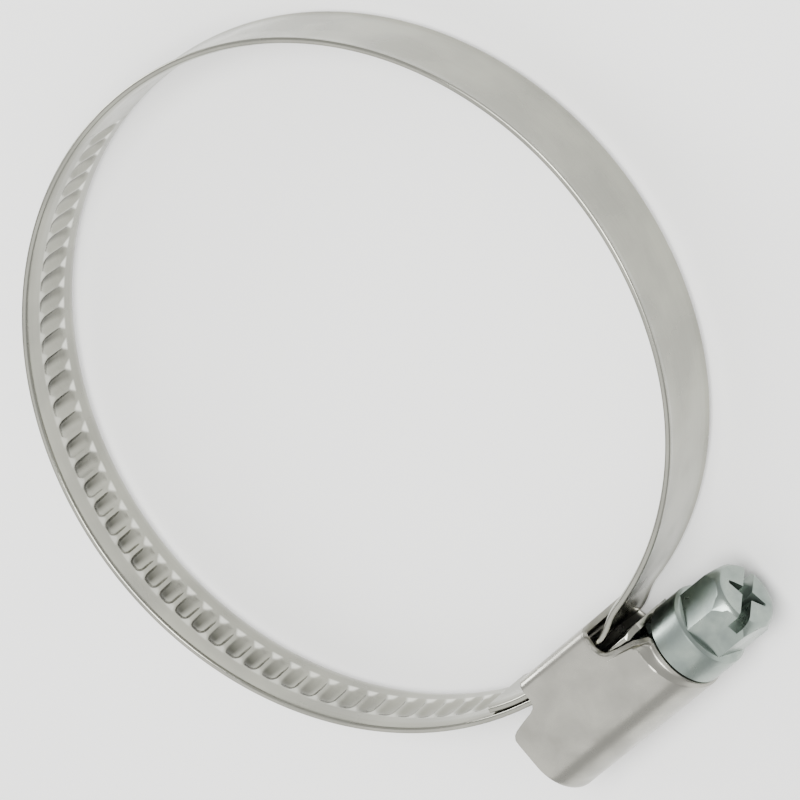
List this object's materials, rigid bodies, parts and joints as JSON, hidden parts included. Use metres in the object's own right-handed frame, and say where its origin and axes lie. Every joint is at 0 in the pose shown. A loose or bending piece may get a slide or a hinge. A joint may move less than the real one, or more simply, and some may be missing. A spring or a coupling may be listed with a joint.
{
  "type": "hose clamp",
  "caption": "Worm-drive hose clamp: slotted steel band ring, wrapped sheet housing and a hex-head screw whose worm pulls the ribbed band tighter.",
  "frame": {"origin": "centre of the ring, half way across the band's width", "axes": "+Z along the hose, +X along the screw towards its head, so the housing is at -Y"},
  "size_m": [0.0723, 0.0813, 0.0104],
  "materials": {
    "band_steel": "bright rolled strip, smooth, with rounded bright edges",
    "housing_steel": "bright stamped sheet with faint scuffs",
    "screw_zinc": "satin zinc plating with a faint blue-green tint"
  },
  "bodies": {
    "housing": {"housing": "housing_steel", "band_fixed_end": "band_steel"},
    "inner_tip": {"band_inner_tip": "band_steel"},
    "plain_lower": {"band_plain_lower": "band_steel"},
    "plain_upper": {"band_plain_upper": "band_steel"},
    "ribbed_upper": {"band_ribbed_upper": "band_steel"},
    "ribbed_lower": {"band_ribbed_lower": "band_steel"},
    "rack": {"band_rack": "band_steel"},
    "free_end": {"band_free_end": "band_steel"},
    "screw": {"screw": "screw_zinc"}
  },
  "joints": [
    {"name": "screw_turn", "type": "hinge", "parent": "housing", "child": "screw", "pos_m": [0, -0.0405, 0], "axis": [-1, 0, 0], "range_deg": [-360, 540]},
    {"name": "plain_root_bend", "type": "hinge", "parent": "housing", "child": "plain_lower", "pos_m": [0.0065, -0.03465, 0], "axis": [0, 0, 1], "range_deg": [-2.3, 1.5]},
    {"name": "right_side_bend", "type": "hinge", "parent": "plain_lower", "child": "plain_upper", "pos_m": [0.03527, 0, 0], "axis": [0, 0, 1], "range_deg": [-1, 1.5]},
    {"name": "top_bend", "type": "hinge", "parent": "plain_upper", "child": "ribbed_upper", "pos_m": [0, 0.03527, 0], "axis": [0, 0, 1], "range_deg": [-1, 1.5]},
    {"name": "left_side_bend", "type": "hinge", "parent": "ribbed_upper", "child": "ribbed_lower", "pos_m": [-0.03527, 0, 0], "axis": [0, 0, 1], "range_deg": [-1, 1.5]},
    {"name": "entry_bend", "type": "hinge", "parent": "ribbed_lower", "child": "rack", "pos_m": [-0.0065, -0.03465, 0], "axis": [0, 0, 1], "range_deg": [-2.3, 1.5]},
    {"name": "free_end_lift", "type": "hinge", "parent": "rack", "child": "free_end", "pos_m": [0.0005, -0.0359, 0], "axis": [0, 0, 1], "range_deg": [-4.6, 6.9], "deforming": ["band_free_end"]},
    {"name": "inner_tip_bend", "type": "hinge", "parent": "housing", "child": "inner_tip", "pos_m": [0.0005, -0.0345, 0], "axis": [0, 0, 1], "range_deg": [-5.6, 3.8], "deforming": ["band_inner_tip"]}
  ],
  "couplings": [
    {"joint": "plain_root_bend", "follows": "screw_turn", "ratio": -0.0038926},
    {"joint": "right_side_bend", "follows": "screw_turn", "ratio": 0.002595},
    {"joint": "top_bend", "follows": "screw_turn", "ratio": 0.002595},
    {"joint": "left_side_bend", "follows": "screw_turn", "ratio": 0.002595},
    {"joint": "entry_bend", "follows": "screw_turn", "ratio": -0.0038926},
    {"joint": "free_end_lift", "follows": "screw_turn", "ratio": 0.0124},
    {"joint": "inner_tip_bend", "follows": "screw_turn", "ratio": -0.01}
  ]
}
